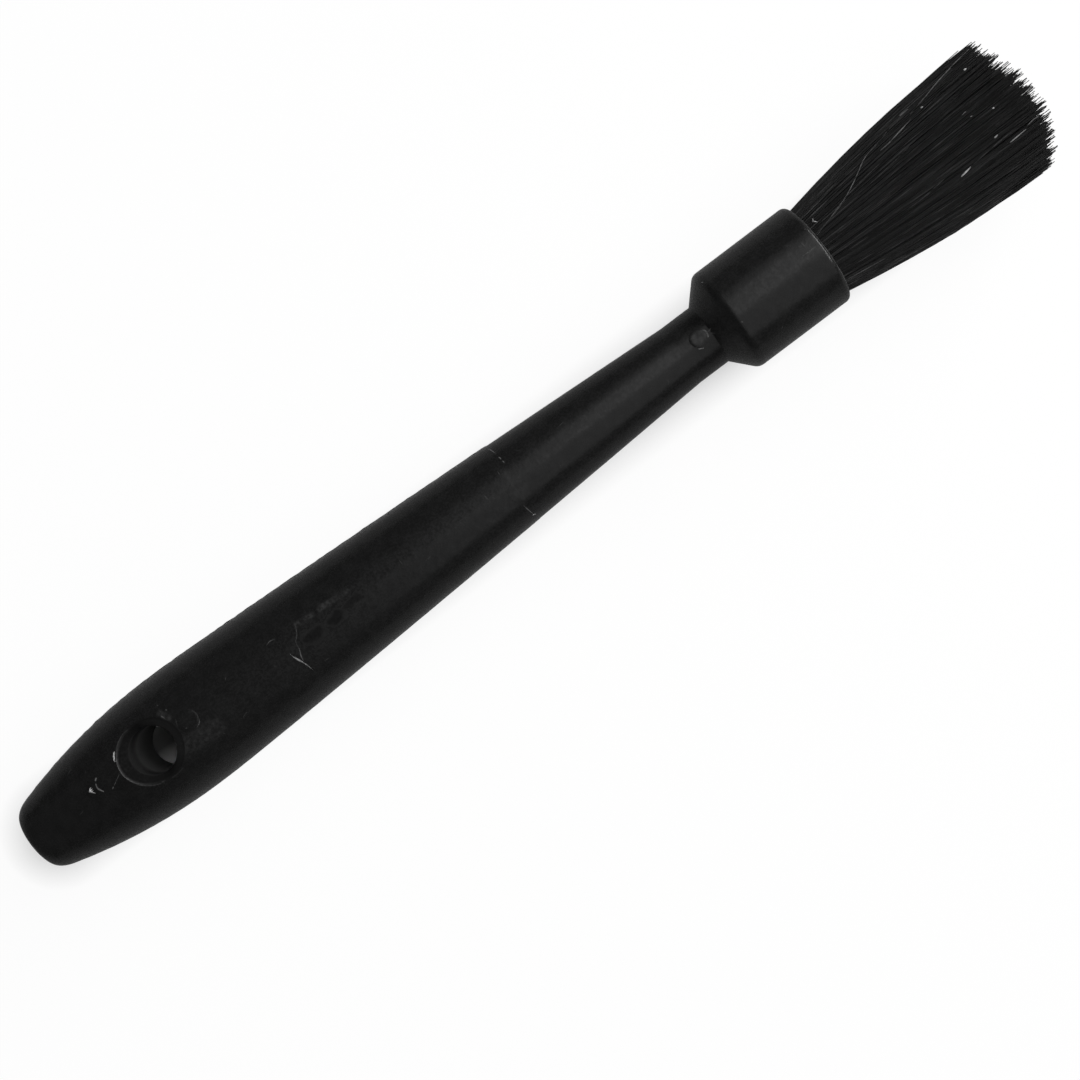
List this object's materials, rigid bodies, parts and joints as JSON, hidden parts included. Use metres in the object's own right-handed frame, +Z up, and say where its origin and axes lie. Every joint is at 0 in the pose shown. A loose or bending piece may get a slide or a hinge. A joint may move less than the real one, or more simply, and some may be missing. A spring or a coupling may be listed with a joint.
{
  "type": "grinder cleaning brush",
  "caption": "Round brush that sweeps coffee grounds out of a grinder: a tapered one-piece handle with a hanging hole and a collar, and a flared tuft set in the collar.",
  "frame": {"origin": "on the table that the brush lies on, under the middle of its bounding box", "axes": "+X from the butt to the bristle tips along the handle's axis, +Z up and along the hanging hole, +Y to the side"},
  "size_m": [0.2, 0.0242, 0.0225],
  "materials": {
    "handle": "satin black moulded polypropylene with a fine matt grain",
    "bristle": "fine black bristle with a faint lengthwise sheen",
    "wire": "drawn, tinned soft wire",
    "resin": "cured amber epoxy",
    "adhesive": "cured clear adhesive"
  },
  "bodies": {
    "root": {"handle": "handle", "bristle_tuft": "bristle", "binding_wire": "wire", "resin_plug": "resin", "adhesive_bed": "adhesive"}
  },
  "joints": []
}
